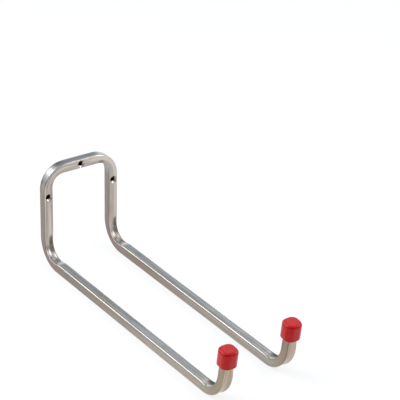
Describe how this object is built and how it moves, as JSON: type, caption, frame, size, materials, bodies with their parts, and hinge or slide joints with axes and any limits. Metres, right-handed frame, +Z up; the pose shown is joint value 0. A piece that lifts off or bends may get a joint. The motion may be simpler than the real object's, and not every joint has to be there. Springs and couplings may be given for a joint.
{
  "type": "wall storage hook",
  "caption": "Wall hook bent from square steel tube: an upright loop with screw holes, long level arms and upturned tips under soft red caps.",
  "frame": {"origin": "midpoint between the two side screw holes, in the plane of the wall", "axes": "+X to the right along the wall as seen from the room, +Y into the wall, +Z up; the arms run towards -Y"},
  "size_m": [0.108, 0.3847, 0.125],
  "materials": {
    "zinc_plated_steel": "bright zinc-plated drawn tube, satin with fine lengthwise streaks",
    "red_vinyl": "satin soft moulded vinyl"
  },
  "bodies": {
    "root": {"hook_frame": "zinc_plated_steel", "end_cap_left": "red_vinyl", "end_cap_right": "red_vinyl"}
  },
  "joints": []
}
